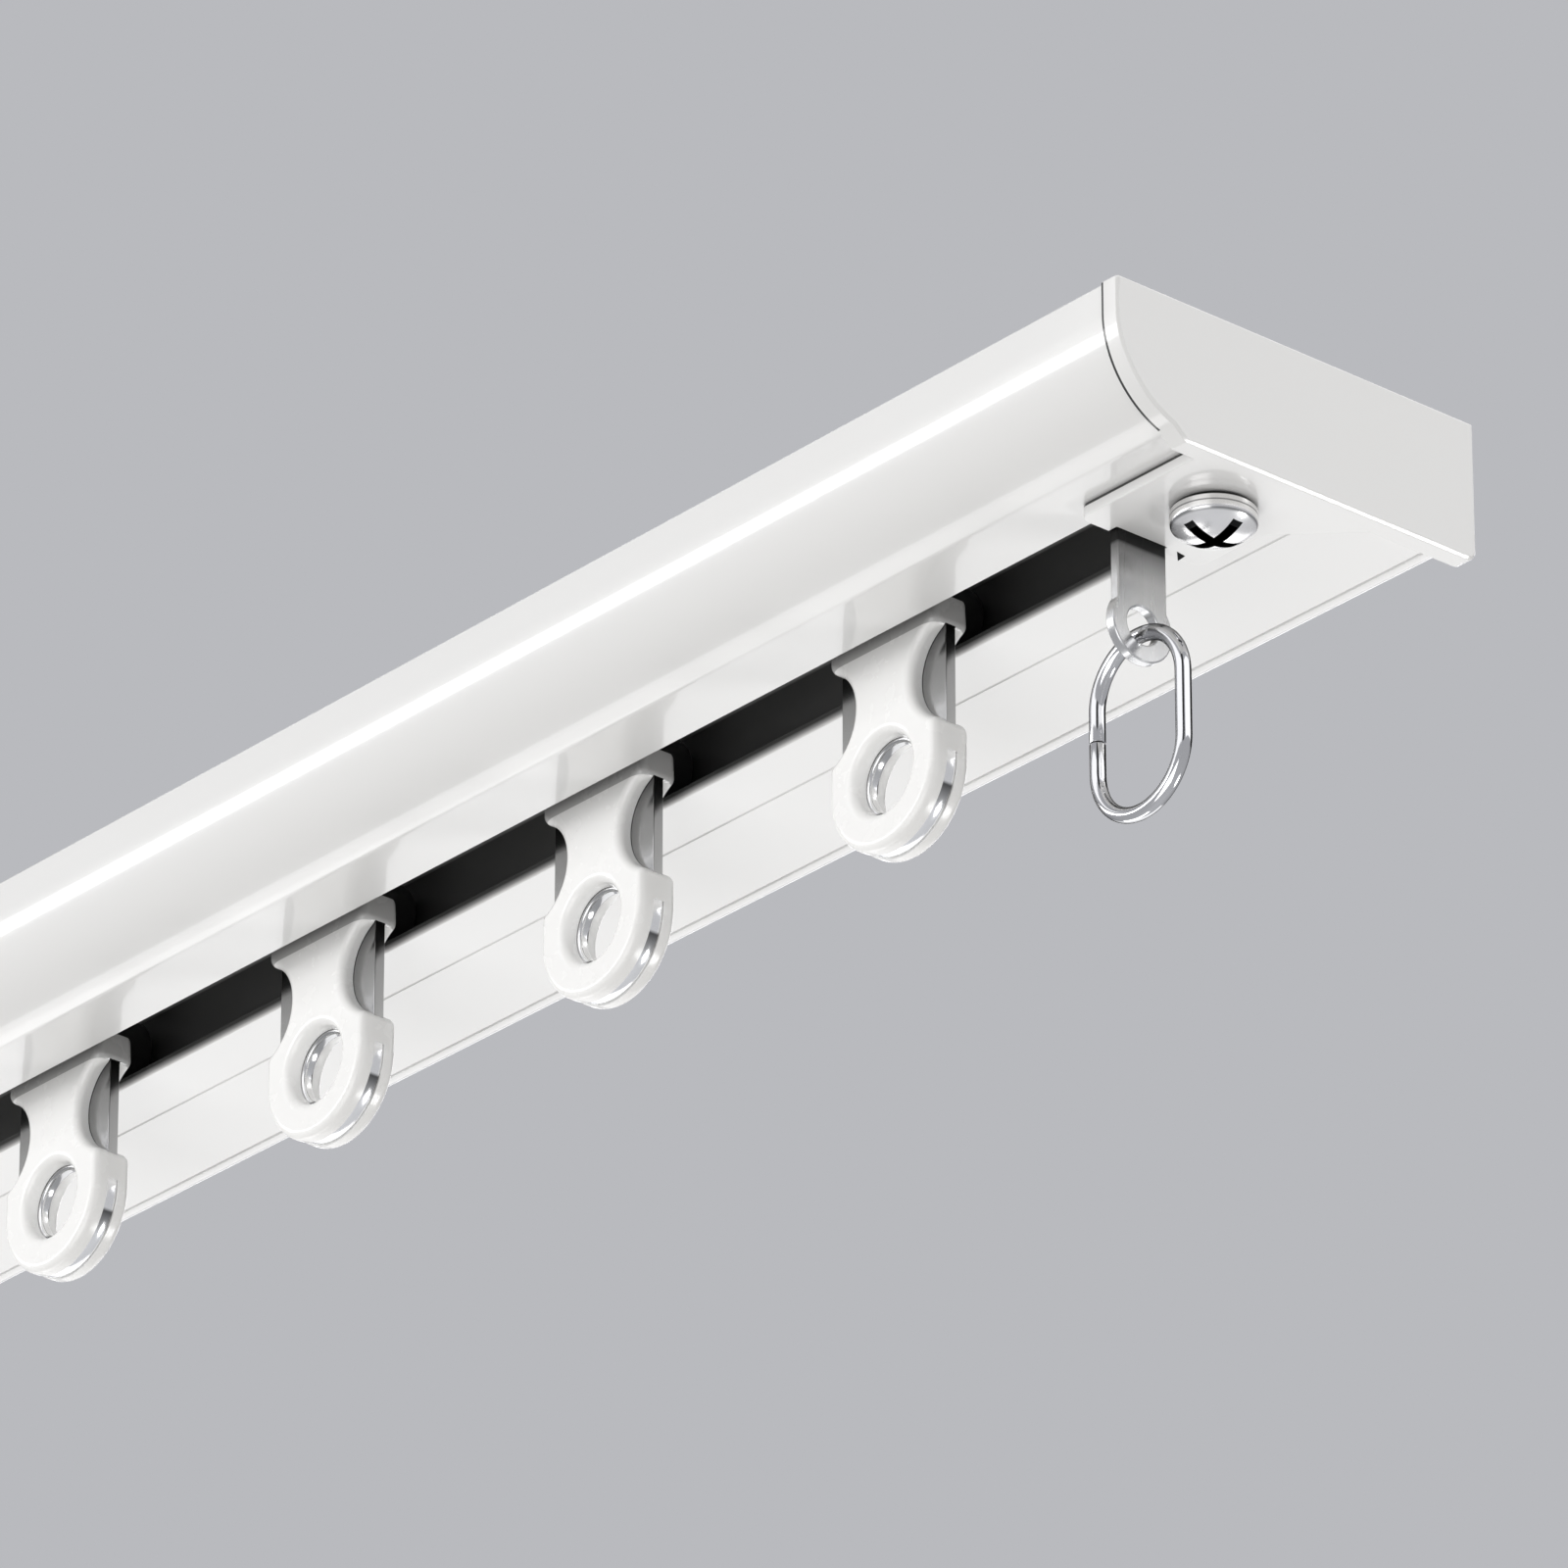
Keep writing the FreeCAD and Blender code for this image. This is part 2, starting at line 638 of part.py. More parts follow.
def build_mould(label, place):
    """Plastic body round the plate: head in the slot, waist, and a round end with the eyelet."""
    body = new_body(label)
    half = S.mould_width / 2
    top = UNDERSIDE + S.mould_rise
    blank = sketch_on(body, "XZ_Plane")
    waist, drop = S.waist_radius, UNDERSIDE - S.waist_drop
    centre = S.waist_width / 2 + waist
    rise = term(math.sqrt(waist.value**2 - (centre.value - half.value) ** 2))
    corners = [
        (half, ROUND_END, "b"),
        (half, drop - rise, "a"),
        (half, drop + rise, "a"),
        (half, top),
        (-half, top),
        (-half, drop + rise, "a"),
        (-half, drop - rise, "a"),
        (-half, ROUND_END, "b"),
    ]
    arcs = {
        1: (centre, drop, waist, -1),
        5: (-centre, drop, waist, -1),
        7: (ZERO, ROUND_END, half, 1),
    }
    outline(blank, corners, arcs)
    pad(body, blank, S.mould_thick, both=True)

    cavity = sketch_on(body, "XZ_Plane")
    plate_outline(cavity)
    pocket(body, cavity, S.plate_thick, both=True)
    gaps = sketch_on(body, "XZ_Plane")
    rectangle(gaps, -half, UNDERSIDE - S.web_top, half, UNDERSIDE + S.head_web)
    rectangle(gaps, -half, ROUND_END - half, half, UNDERSIDE - S.web_bottom)
    pocket(body, gaps, S.plate_thick, both=True)

    skin = (S.mould_thick - S.plate_thick) / 2
    dish = math.degrees(math.atan2(S.mould_dish.value, skin.value))
    for side in (-1, 1):
        eyelet = sketch_on(body, "XZ_Plane", S.plate_thick / 2 * side)
        circle(eyelet, ZERO, EYELET, S.mould_hole / 2)
        cone = pocket(body, eyelet, skin, reverse=side > 0)
        cone.TaperAngle = dish
    bind(body, "Placement.Base.x", place)
    return body


def build_turned(label, place, profile):
    """A turned piece on the runner's axle, from (distance from the slot's centre, radius) pairs."""
    body = new_body(label)
    half = sketch_on(body, "YZ_Plane")
    outline(half, [(along, AXLE + radius) for along, radius in profile])
    axis = sketch_on(body, "YZ_Plane")
    axis.addGeometry(Part.LineSegment(V(-1, AXLE.value, 0), V(1, AXLE.value, 0)), False)
    drive(axis, "DistanceX", 0, 1, term(-1))
    drive(axis, "DistanceX", 0, 2, term(1))
    drive(axis, "DistanceY", 0, 1, AXLE)
    drive(axis, "DistanceY", 0, 2, AXLE)
    turned = body.newObject("PartDesign::Revolution", label + "_turned")
    turned.Profile = half
    turned.ReferenceAxis = (axis, ["Edge1"])
    bind(body, "Placement.Base.x", place)
    return body


def build_wheel(label, place, side):
    """Roller between the plastic body and the channel's wall, with its tread over a lip."""
    inner, outer = (S.mould_thick / 2 + S.wheel_side) * side, S.wheel_outer * side
    profile = [
        (inner, S.axle_radius),
        (inner, S.wheel_radius),
        (outer, S.wheel_radius),
        (outer, S.axle_radius),
    ]
    return build_turned(label, place, profile)


def build_axle(label, place):
    end = S.wheel_outer + S.axle_end
    return build_turned(label, place, [(-end, ZERO), (-end, S.axle_radius), (end, S.axle_radius), (end, ZERO)])


def build_runner(number, place):
    return [
        build_plate(f"runner_{number}_plate", place),
        build_mould(f"runner_{number}_body", place),
        build_axle(f"runner_{number}_axle", place),
        build_wheel(f"runner_{number}_wheel_front", place, -1),
        build_wheel(f"runner_{number}_wheel_rear", place, 1),
    ]


def build_all():
    pieces = [build_rail()]
    for name, side in (("right", 1), ("left", -1)):
        pieces.append(build_cap(f"end_cap_{name}", side))
    pieces.append(build_clamp_strip("clamp_strip", 1))
    pieces.append(build_clamp_plate("clamp_plate", -1))
    pieces.append(build_ring("end_ring", 1))
    pieces.append(build_group("clamp_screws", [build_screw(side) for side in (1, -1)]))
    pieces.append(build_group("clamp_nuts", [build_nut(side) for side in (1, -1)]))
    for number in range(int(S.runner_count.value)):
        pieces += build_runner(number + 1, RAIL_END - S.runner_first - S.runner_pitch * number)
    return pieces


def check(pieces):
    """Stops the build on a failed object or an invalid solid."""
    for item in doc.Objects:
        if "Invalid" in item.State or "Error" in item.State:
            raise RuntimeError(f"{item.Label} failed: {item.State}")
    for piece in pieces:
        if piece.Shape.isNull() or not piece.Shape.isValid():
            raise RuntimeError(f"{piece.Label} has no valid shape")


pieces = build_all()
doc.recompute()
check(pieces)
os.makedirs("parts", exist_ok=True)
for piece in pieces:
    piece.Shape.exportStep(f"parts/{piece.Label}.step")
print(len(pieces), "pieces written")
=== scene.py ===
import math
import bmesh
import bpy
from mathutils import Matrix, Vector


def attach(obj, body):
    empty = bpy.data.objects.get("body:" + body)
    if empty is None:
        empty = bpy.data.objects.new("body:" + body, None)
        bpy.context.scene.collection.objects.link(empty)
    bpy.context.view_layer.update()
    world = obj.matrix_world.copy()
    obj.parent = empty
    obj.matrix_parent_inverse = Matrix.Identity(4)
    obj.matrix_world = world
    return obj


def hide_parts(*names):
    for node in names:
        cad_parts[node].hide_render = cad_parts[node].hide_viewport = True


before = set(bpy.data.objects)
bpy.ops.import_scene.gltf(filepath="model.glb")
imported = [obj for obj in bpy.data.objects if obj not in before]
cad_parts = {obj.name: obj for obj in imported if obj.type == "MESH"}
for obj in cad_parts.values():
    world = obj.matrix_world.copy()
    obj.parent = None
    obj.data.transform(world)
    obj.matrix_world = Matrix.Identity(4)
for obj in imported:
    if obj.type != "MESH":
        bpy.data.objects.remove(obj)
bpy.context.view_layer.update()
scene = bpy.context.scene
mm = 0.001
tiny = 0.001 * mm      # places closer than this are the same
print("frame loaded:", len(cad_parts), "nodes")

# sizes shared by several pieces, in millimetres
track = {
    "underside": -11.7,      # flat underside of the rail
    "lipTop": -10.6,
    "roof": -2.2,            # ceiling of the channel
    "tongueFace": -12.9,     # lowest face of the end caps
    "railEnd": 158.0, "capEnd": 160.0,
    "railRear": 22.8, "capRear": 23.5,
    "channelHalf": 8.2, "slotHalf": 3.725,
    "screwX": 152.6, "screwY": 0.5,
}


def place(x, y, z):
    return Vector((x * mm, y * mm, z * mm))


def vertsOf(geometry):
    return [g for g in geometry if isinstance(g, bmesh.types.BMVert)]


def edgesOf(geometry):
    return [g for g in geometry if isinstance(g, bmesh.types.BMEdge)]


def lineTo(bm, last, x, y, z):
    corner = bm.verts.new(place(x, y, z))
    bm.edges.new((last, corner))
    return corner


def arcTo(bm, last, centre, axis, degrees, steps):
    turned = bmesh.ops.spin(bm, geom=[last], cent=place(*centre), axis=axis,
                            angle=math.radians(degrees), steps=steps)
    return vertsOf(turned["geom_last"])[0]


def roundEdges(bm, width, segments, choose, least=30):
    # rounds the edges that turn by more than least degrees and that choose accepts
    picked = [e for e in bm.edges if len(e.link_faces) == 2
              and e.calc_face_angle(0) > math.radians(least) and choose(e)]
    bmesh.ops.bevel(bm, geom=picked, offset=width * mm, offset_type="OFFSET", segments=segments,
                    profile=0.5, affect="EDGES", clamp_overlap=False, loop_slide=False, material=-1)


def finishPiece(name, bm, material, body, nodes=(), sharp=35):
    mesh = keptMesh(name, bm)
    mesh.materials.append(material)
    mesh.shade_smooth()
    mesh.set_sharp_from_angle(angle=math.radians(sharp))
    piece = bpy.data.objects.new(name, mesh)
    scene.collection.objects.link(piece)
    evened = piece.modifiers.new("evenShading", "WEIGHTED_NORMAL")
    evened.keep_sharp = True
    if nodes:
        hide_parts(*nodes)
    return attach(piece, body)


def cutAway(bm, cutters):
    # takes the cutters out of the shape and returns what is left
    holder = bpy.data.objects.new("cutHolder", bpy.data.meshes.new("cutHolder"))
    bm.to_mesh(holder.data)
    bm.free()
    scene.collection.objects.link(holder)
    spent = [holder]
    for cutter in cutters:
        bmesh.ops.recalc_face_normals(cutter, faces=cutter.faces)
        tool = bpy.data.objects.new("cutTool", bpy.data.meshes.new("cutTool"))
        cutter.to_mesh(tool.data)
        cutter.free()
        scene.collection.objects.link(tool)
        cut = holder.modifiers.new("cut", "BOOLEAN")
        cut.operation, cut.solver, cut.object = "DIFFERENCE", "EXACT", tool
        spent.append(tool)
    bpy.context.view_layer.update()
    evaluated = holder.evaluated_get(bpy.context.evaluated_depsgraph_get())
    result = bpy.data.meshes.new_from_object(evaluated)
    done = bmesh.new()
    done.from_mesh(result)
    bpy.data.meshes.remove(result)
    for thing in spent:
        bpy.data.objects.remove(thing)
    return done


def copyOfNode(node):
    # a node's mesh with its loose triangles joined into whole faces
    bm = bmesh.new()
    bm.from_mesh(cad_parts[node].data)
    bmesh.ops.remove_doubles(bm, verts=bm.verts, dist=tiny)
    bmesh.ops.dissolve_limit(bm, angle_limit=math.radians(0.5), verts=bm.verts, edges=bm.edges)
    return bm


def keptMesh(name, bm):
    mesh = bpy.data.meshes.new(name)
    bm.to_mesh(mesh)
    bm.free()
    return mesh


def startMaterial(name, colour, metallic, roughness):
    material = bpy.data.materials.new(name)
    material.use_nodes = True
    shader = material.node_tree.nodes["Principled BSDF"]
    shader.inputs["Base Color"].default_value = (*colour, 1)
    shader.inputs["Metallic"].default_value = metallic
    shader.inputs["Roughness"].default_value = roughness
    return material, material.node_tree, shader


def objectPoint(tree, stretch=(1, 1, 1)):
    coordinates = tree.nodes.new("ShaderNodeTexCoord")
    mapping = tree.nodes.new("ShaderNodeMapping")
    mapping.inputs["Scale"].default_value = stretch
    tree.links.new(coordinates.outputs["Object"], mapping.inputs["Vector"])
    return mapping.outputs["Vector"]


def addGrain(tree, shader, look, stretch=(1, 1, 1)):
    # uneven gloss and a fine relief from one noise, which seldom leaves 0.3 to 0.7
    noise = tree.nodes.new("ShaderNodeTexNoise")
    noise.inputs["Scale"].default_value = look["grain"]
    noise.inputs["Detail"].default_value = 3
    tree.links.new(objectPoint(tree, stretch), noise.inputs["Vector"])
    spread = tree.nodes.new("ShaderNodeMapRange")
    spread.inputs["From Min"].default_value, spread.inputs["From Max"].default_value = 0.3, 0.7
    spread.inputs["To Min"].default_value, spread.inputs["To Max"].default_value = look["rough"]
    tree.links.new(noise.outputs["Fac"], spread.inputs["Value"])
    tree.links.new(spread.outputs["Result"], shader.inputs["Roughness"])
    relief = tree.nodes.new("ShaderNodeBump")
    relief.inputs["Strength"].default_value = look["relief"]
    relief.inputs["Distance"].default_value = look["reliefDeep"] * mm
    tree.links.new(noise.outputs["Fac"], relief.inputs["Height"])
    tree.links.new(relief.outputs["Normal"], shader.inputs["Normal"])


def addCoat(shader, look):
    shader.inputs["Coat Weight"].default_value = look["coat"]
    shader.inputs["Coat Roughness"].default_value = look["coatRough"]


def between(tree, value, low, high, soft):
    # 1 where value lies between low and high, with edges that fade over soft
    rise = tree.nodes.new("ShaderNodeMapRange")
    fall = tree.nodes.new("ShaderNodeMapRange")
    for ramp, start, stop in ((rise, low, low + soft), (fall, high, high - soft)):
        ramp.inputs["From Min"].default_value = start * mm
        ramp.inputs["From Max"].default_value = stop * mm
        tree.links.new(value, ramp.inputs["Value"])
    both = tree.nodes.new("ShaderNodeMath")
    both.operation = "MULTIPLY"
    tree.links.new(rise.outputs["Result"], both.inputs[0])
    tree.links.new(fall.outputs["Result"], both.inputs[1])
    return both.outputs["Value"]


def boxMask(tree, boxes):
    # 1 inside the boxes, each (low, high, soft) on X, Y and Z, or None where it has no limit
    coordinates = tree.nodes.new("ShaderNodeTexCoord")
    split = tree.nodes.new("ShaderNodeSeparateXYZ")
    tree.links.new(coordinates.outputs["Object"], split.inputs["Vector"])

    def join(one, other, operation):
        node = tree.nodes.new("ShaderNodeMath")
        node.operation = operation
        tree.links.new(one, node.inputs[0])
        tree.links.new(other, node.inputs[1])
        return node.outputs["Value"]

    total = None
    for limits in boxes:
        mask = None
        for axis, limit in zip("XYZ", limits):
            if limit is not None:
                inside = between(tree, split.outputs[axis], *limit)
                mask = inside if mask is None else join(mask, inside, "MULTIPLY")
        total = mask if total is None else join(total, mask, "MAXIMUM")
    return total


def colourBoxes(tree, shader, colour, layers):
    # the colour turns to each layer's shade inside that layer's boxes
    under = None
    for shade, boxes in layers:
        mix = tree.nodes.new("ShaderNodeMix")
        mix.data_type = "RGBA"
        mix.inputs["A"].default_value = (*colour, 1)
        mix.inputs["B"].default_value = (*shade, 1)
        if under is not None:
            tree.links.new(under, mix.inputs["A"])
        tree.links.new(boxMask(tree, boxes), mix.inputs["Factor"])
        under = mix.outputs["Result"]
    tree.links.new(under, shader.inputs["Base Color"])


paintLook = {
    "colour": (0.86, 0.86, 0.86), "gloss": 0.28,
    "grain": 350, "rough": (0.25, 0.27), "relief": 0.002, "reliefDeep": 0.01,
    "coat": 0.8, "coatRough": 0.06,
    "inside": (0.07, 0.07, 0.07),        # the channel, which lies in its own shadow
    "intoWall": 0.15, "wallSoft": 0.05,
    "overUnderside": 0.01, "intoRoof": 0.2, "heightSoft": 0.7,
}


def makePaint():
    look, t = paintLook, track
    material, tree, shader = startMaterial("whitePaint", look["colour"], 0, look["gloss"])
    addGrain(tree, shader, look)
    # painted shade: the inside of the channel is painted dark for the shadow it lies in
    half = t["channelHalf"] + look["intoWall"]
    height = (t["underside"] + look["overUnderside"], t["roof"] + look["intoRoof"], look["heightSoft"])
    channel = (None, (-half, half, look["wallSoft"]), height)
    colourBoxes(tree, shader, look["colour"], [(look["inside"], [channel])])
    addCoat(shader, look)
    return material


capLook = {
    "colour": (0.87, 0.87, 0.87), "gloss": 0.3,
    "grain": 150, "rough": (0.285, 0.30), "relief": 0.002, "reliefDeep": 0.005,
    "coat": 0.8, "coatRough": 0.06,
    # painted highlight along the outer edges: inwards from the edge, past it, soft
    "edge": (1, 1, 1), "edgeHighlightBand": (0.2, 0.3, 0.03),
    # painted shadow in the joint of the rim with the rail's end, on X from that end, and its reach on Y and
    # Z
    "seam": (0.015, 0.015, 0.015), "rimSeam": (-0.07, 0.32, 0.02),
    "rimSeamY": (-20, 22.7, 0.04), "rimSeamZ": (-11.7, 1, 0.02),
    # painted shadow in the joint of the tongue with the rail's underside
    "tongueSeamEnd": 157.9, "tongueSeamSoft": 0.02,
    "tongueSeamY": (-6.8, -6.6, 0.01), "tongueSeamZ": (-12.02, -11.6, 0.04),
}


def endBand(side, end, inner, outer, soft):
    # a range on X at the right (1) or left (-1) end, from end + inner to end + outer
    return (*sorted((side * (end + inner), side * (end + outer))), soft)


def makeCapPlastic():
    look, t = capLook, track
    material, tree, shader = startMaterial("capPlastic", look["colour"], 0, look["gloss"])
    addGrain(tree, shader, look)
    deep, past, soft = look["edgeHighlightBand"]
    low, top = (t["tongueFace"] - past, t["tongueFace"] + deep, soft), (-deep, past, soft)
    rear = (t["capRear"] - deep, t["capRear"] + past, soft)
    # painted highlight along the cap's outer edges
    edges = []
    # painted shadow in the joints of the cap with the rail
    reach = look["tongueSeamEnd"]
    jointShadows = [((-reach, reach, look["tongueSeamSoft"]), look["tongueSeamY"], look["tongueSeamZ"])]
    for side in (-1, 1):
        face = endBand(side, t["capEnd"], -deep, past, soft)
        edges += [(face, None, low), (face, None, top), (face, rear, None)]
        jointShadows.append((endBand(side, t["railEnd"], *look["rimSeam"]), look["rimSeamY"], look["rimSeamZ"]))
    colourBoxes(tree, shader, look["colour"], [(look["edge"], edges), (look["seam"], jointShadows)])
    addCoat(shader, look)
    return material


runnerLook = {
    "colour": (0.97, 0.97, 0.965), "gloss": 0.27,
    "grain": 500, "rough": (0.26, 0.28), "relief": 0.003, "reliefDeep": 0.01,
    "coat": 0.4, "coatRough": 0.12,
    "slotShade": (0.50, 0.50, 0.50), "slotZ": (-11.45, -2, 0.08),       # what stands in the slot is in shadow
    "through": 0.12, "throughDeep": 0.6,                             # light that passes the plastic
}


def makeRunnerPlastic():
    look = runnerLook
    material, tree, shader = startMaterial("runnerPlastic", look["colour"], 0, look["gloss"])
    addGrain(tree, shader, look)
    # painted shade on the part of the runner that stands in the slot
    colourBoxes(tree, shader, look["colour"], [(look["slotShade"], [(None, None, look["slotZ"])])])
    addCoat(shader, look)
    shader.inputs["Subsurface Weight"].default_value = look["through"]
    shader.inputs["Subsurface Radius"].default_value = (1, 1, 1)
    shader.inputs["Subsurface Scale"].default_value = look["throughDeep"] * mm
    return material


wheelLook = {
    "colour": (0.02, 0.02, 0.021), "gloss": 0.45,
    "grain": 1500, "rough": (0.38, 0.52), "relief": 0.06, "reliefDeep": 0.01,
}


def makeWheelPlastic():
    material, tree, shader = startMaterial("wheelPlastic", wheelLook["colour"], 0, wheelLook["gloss"])
    addGrain(tree, shader, wheelLook)
    return material


triangleLook = {
    "colour": (0.004, 0.004, 0.004), "gloss": 0.8, "shine": 0.1,
    "grain": 1500, "rough": (0.7, 0.9), "relief": 0.02, "reliefDeep": 0.02,
}


def makeTriangleBlack():
    material, tree, shader = startMaterial("triangleBlack", triangleLook["colour"], 0, triangleLook["gloss"])
    shader.inputs["Specular IOR Level"].default_value = triangleLook["shine"]
    addGrain(tree, shader, triangleLook)
    return material


metalLooks = {
    "grain": 900, "reliefDeep": 0.008,
    "finishes": {
        # name: (colour, roughness from and to, relief, stretch of the grain, long where it is below 1)
        "plateSteel": ((0.82, 0.82, 0.83), (0.12, 0.20), 0.06, (0.12, 1, 1)),
        "stripSteel": ((0.60, 0.60, 0.61), (0.20, 0.32), 0.10, (1, 1, 0.06)),
        "brightWire": ((0.68, 0.68, 0.69), (0.07, 0.12), 0.02, (1, 1, 1)),
        "nickel": ((0.95, 0.94, 0.93), (0.23, 0.25), 0.004, (1, 1, 1)),
    },
    # painted reflection: a near-black edge tint stands for the dark surroundings the wire mirrors
    "wireEdgeReflection": (0.05, 0.05, 0.05),      # what the wire mirrors where it turns away
}


def makeMetal(name):
    colour, rough, relief, stretch = metalLooks["finishes"][name]
    material, tree, shader = startMaterial(name, colour, 1, rough[0])
    addGrain(tree, shader, {**metalLooks, "rough": rough, "relief": relief}, stretch)
    return material, tree, shader


# painted shade and reflection by height: grey from low to high on Z, each as (share of the height, grey)
heightShades = {
    # painted reflection: the leg is darker where it comes out of the slot, for the dark slot it mirrors
    "strip": (-19.0, -12.9, ((0, 0.62), (0.33, 0.55), (0.62, 0.33), (0.78, 0.19),
                             (0.84, 0.025), (1, 0.015))),
    # a runner's plate has a painted reflection, a dark band in its eyelet's rim, and painted shade that
    # makes it darker close under the rail
    "plate": (-30.0, -11.5, ((0, 1), (0.11, 1), (0.14, 0.55), (0.21, 0.12), (0.225, 1),
                             (0.36, 1), (0.50, 0.50), (0.85, 0.36), (1, 0.10))),
}


def shadeByHeight(tree, shader, low, high, shades):
    coordinates = tree.nodes.new("ShaderNodeTexCoord")
    split = tree.nodes.new("ShaderNodeSeparateXYZ")
    share = tree.nodes.new("ShaderNodeMapRange")
    ramp = tree.nodes.new("ShaderNodeValToRGB")
    share.inputs["From Min"].default_value = low * mm
    share.inputs["From Max"].default_value = high * mm
    while len(ramp.color_ramp.elements) < len(shades):
        ramp.color_ramp.elements.new(1)
    for stop, (position, grey) in zip(ramp.color_ramp.elements, shades):
        stop.position, stop.color = position, (grey, grey, grey, 1)
    tree.links.new(coordinates.outputs["Object"], split.inputs["Vector"])
    tree.links.new(split.outputs["Z"], share.inputs["Value"])
    tree.links.new(share.outputs["Result"], ramp.inputs["Fac"])
    tree.links.new(ramp.outputs["Color"], shader.inputs["Base Color"])


def makeSteel(name, shades):
    material, tree, shader = makeMetal(name)
    shadeByHeight(tree, shader, *shades)
    return material


def makeWire():
    material, _, shader = makeMetal("brightWire")
    # painted reflection at the wire's edges
    shader.inputs["Specular Tint"].default_value = (*metalLooks["wireEdgeReflection"], 1)
    return material


nickelShades = {
    # painted reflections: grey lines round the rim of a screw's head, on Z
    "line": (0.34, 0.34, 0.34), "lines": ((-13.90, -13.70, 0.06), (-14.74, -14.42, 0.14)),
    # painted shadow: the bevel under the head and the walls of its cross lie in their own shadow, so they
    # are painted dark
    "paintedShadow": (0.015, 0.015, 0.015), "bevel": (-13.36, -12.8, 0.08),
    "crossLong": 2.93, "crossWide": 0.55, "crossSoft": 0.03, "crossZ": (-16.5, -14, 0.1),
}


def makeNickel():
    look, t = nickelShades, track
    material, tree, shader = makeMetal("nickel")
    long, wide, soft = look["crossLong"], look["crossWide"], look["crossSoft"]
    y = t["screwY"]
    # painted shadow under the head and in the cross
    paintedShadow = [(None, None, look["bevel"])]
    for x in (-t["screwX"], t["screwX"]):
        for reach, half in ((long, wide), (wide, long)):
            paintedShadow.append(((x - reach, x + reach, soft), (y - half, y + half, soft), look["crossZ"]))
    # painted reflections round the rim of the head
    lines = [(None, None, line) for line in look["lines"]]
    colour = metalLooks["finishes"]["nickel"][0]
    colourBoxes(tree, shader, colour, [(look["line"], lines), (look["paintedShadow"], paintedShadow)])
    return material


paint = makePaint()
capPlastic = makeCapPlastic()
runnerPlastic = makeRunnerPlastic()
wheelPlastic = makeWheelPlastic()
plateSteel = makeSteel("plateSteel", heightShades["plate"])
stripSteel = makeSteel("stripSteel", heightShades["strip"])
brightWire = makeWire()
nickel = makeNickel()
triangleBlack = makeTriangleBlack()
print("materials made")

railSize = {
    "front": -16.52,
    "curveCentre": (-7.47, -2.95), "curveTurn": 75.22, "curveSteps": 30,
    "innerTurn": 75.77, "innerSteps": 16,
    # roundings: (radius, steps)
    "topRound": (0.2, 4), "slotRound": (0.3, 6), "rearRound": (1.6, 12),
    "grooves": ((9.76, 0.15, 0.18), (20.6, 0.14, 0.60)),      # place, half width, depth
    "chamberRear": (9.4, 21.6, -10.6, -1.2),                  # near, far, low, high
    "chamberFront": (-9.4, -15.32, -1.2),                     # near, far, high
    "endRound": 0.12,
    "screwHoles": (-94.5, 94.5), "holeHalf": 2.25, "holeSteps": 48,
    "mouthHalf": 3.7, "sink": 1.45, "past": 1,                # past: how far the cutter stands out
}


def drawSection(bm, x):
    s, t = railSize, track
    low, slot, channel, rear = t["underside"], t["slotHalf"], t["channelHalf"], t["railRear"]
    alongX = (1, 0, 0)
    r, steps = s["topRound"]
    first = last = bm.verts.new(place(x, s["front"] + r, 0))
    last = arcTo(bm, last, (x, s["front"] + r, -r), alongX, 90, steps)
    last = lineTo(bm, last, x, s["front"], s["curveCentre"][1])
    last = arcTo(bm, last, (x, *s["curveCentre"]), alongX, s["curveTurn"], s["curveSteps"])
    r, steps = s["slotRound"]
    last = lineTo(bm, last, x, -slot - r, low)
    last = arcTo(bm, last, (x, -slot - r, low + r), alongX, 90, steps)
    for y, z in ((-slot, t["lipTop"]), (-channel, t["lipTop"]), (-channel, t["roof"]), (channel, t["roof"]),
                 (channel, t["lipTop"]), (slot, t["lipTop"]), (slot, low + r)):
        last = lineTo(bm, last, x, y, z)
    last = arcTo(bm, last, (x, slot + r, low + r), alongX, 90, steps)
    for groove, half, deep in s["grooves"]:
        last = lineTo(bm, last, x, groove - half, low)
        last = lineTo(bm, last, x, groove, low + deep)
        last = lineTo(bm, last, x, groove + half, low)
    r, steps = s["rearRound"]
    last = lineTo(bm, last, x, rear - r, low)
    last = arcTo(bm, last, (x, rear - r, low + r), alongX, 90, steps)
    r, steps = s["topRound"]
    last = lineTo(bm, last, x, rear, -r)
    last = arcTo(bm, last, (x, rear - r, -r), alongX, 90, steps)
    bm.edges.new((last, first))


def drawChambers(bm, x):
    s = railSize
    near, far, low, high = s["chamberRear"]
    first = last = bm.verts.new(place(x, near, high))
    for y, z in ((near, low), (far, low), (far, high)):
        last = lineTo(bm, last, x, y, z)
    bm.edges.new((last, first))
    near, far, high = s["chamberFront"]
    first = last = bm.verts.new(place(x, near, high))
    last = lineTo(bm, last, x, far, high)
    last = lineTo(bm, last, x, far, s["curveCentre"][1])
    last = arcTo(bm, last, (x, *s["curveCentre"]), (1, 0, 0), s["innerTurn"], s["innerSteps"])
    bm.edges.new((last, first))


def ceilingHole(x):
    # countersunk hole in the channel's roof, as a shape to cut away
    s, roof = railSize, track["roof"]
    bm = bmesh.new()
    last = bm.verts.new(place(x, 0, roof - s["past"]))
    for away, z in ((s["mouthHalf"], roof - s["past"]), (s["mouthHalf"], roof),
                    (s["holeHalf"], roof + s["sink"]), (s["holeHalf"], s["past"]), (0, s["past"])):
        last = lineTo(bm, last, x + away, 0, z)
    bmesh.ops.spin(bm, geom=bm.verts[:] + bm.edges[:], cent=place(x, 0, 0), axis=(0, 0, 1),
                   angle=math.tau, steps=s["holeSteps"], use_merge=True)
    bmesh.ops.remove_doubles(bm, verts=bm.verts, dist=tiny)
    return bm


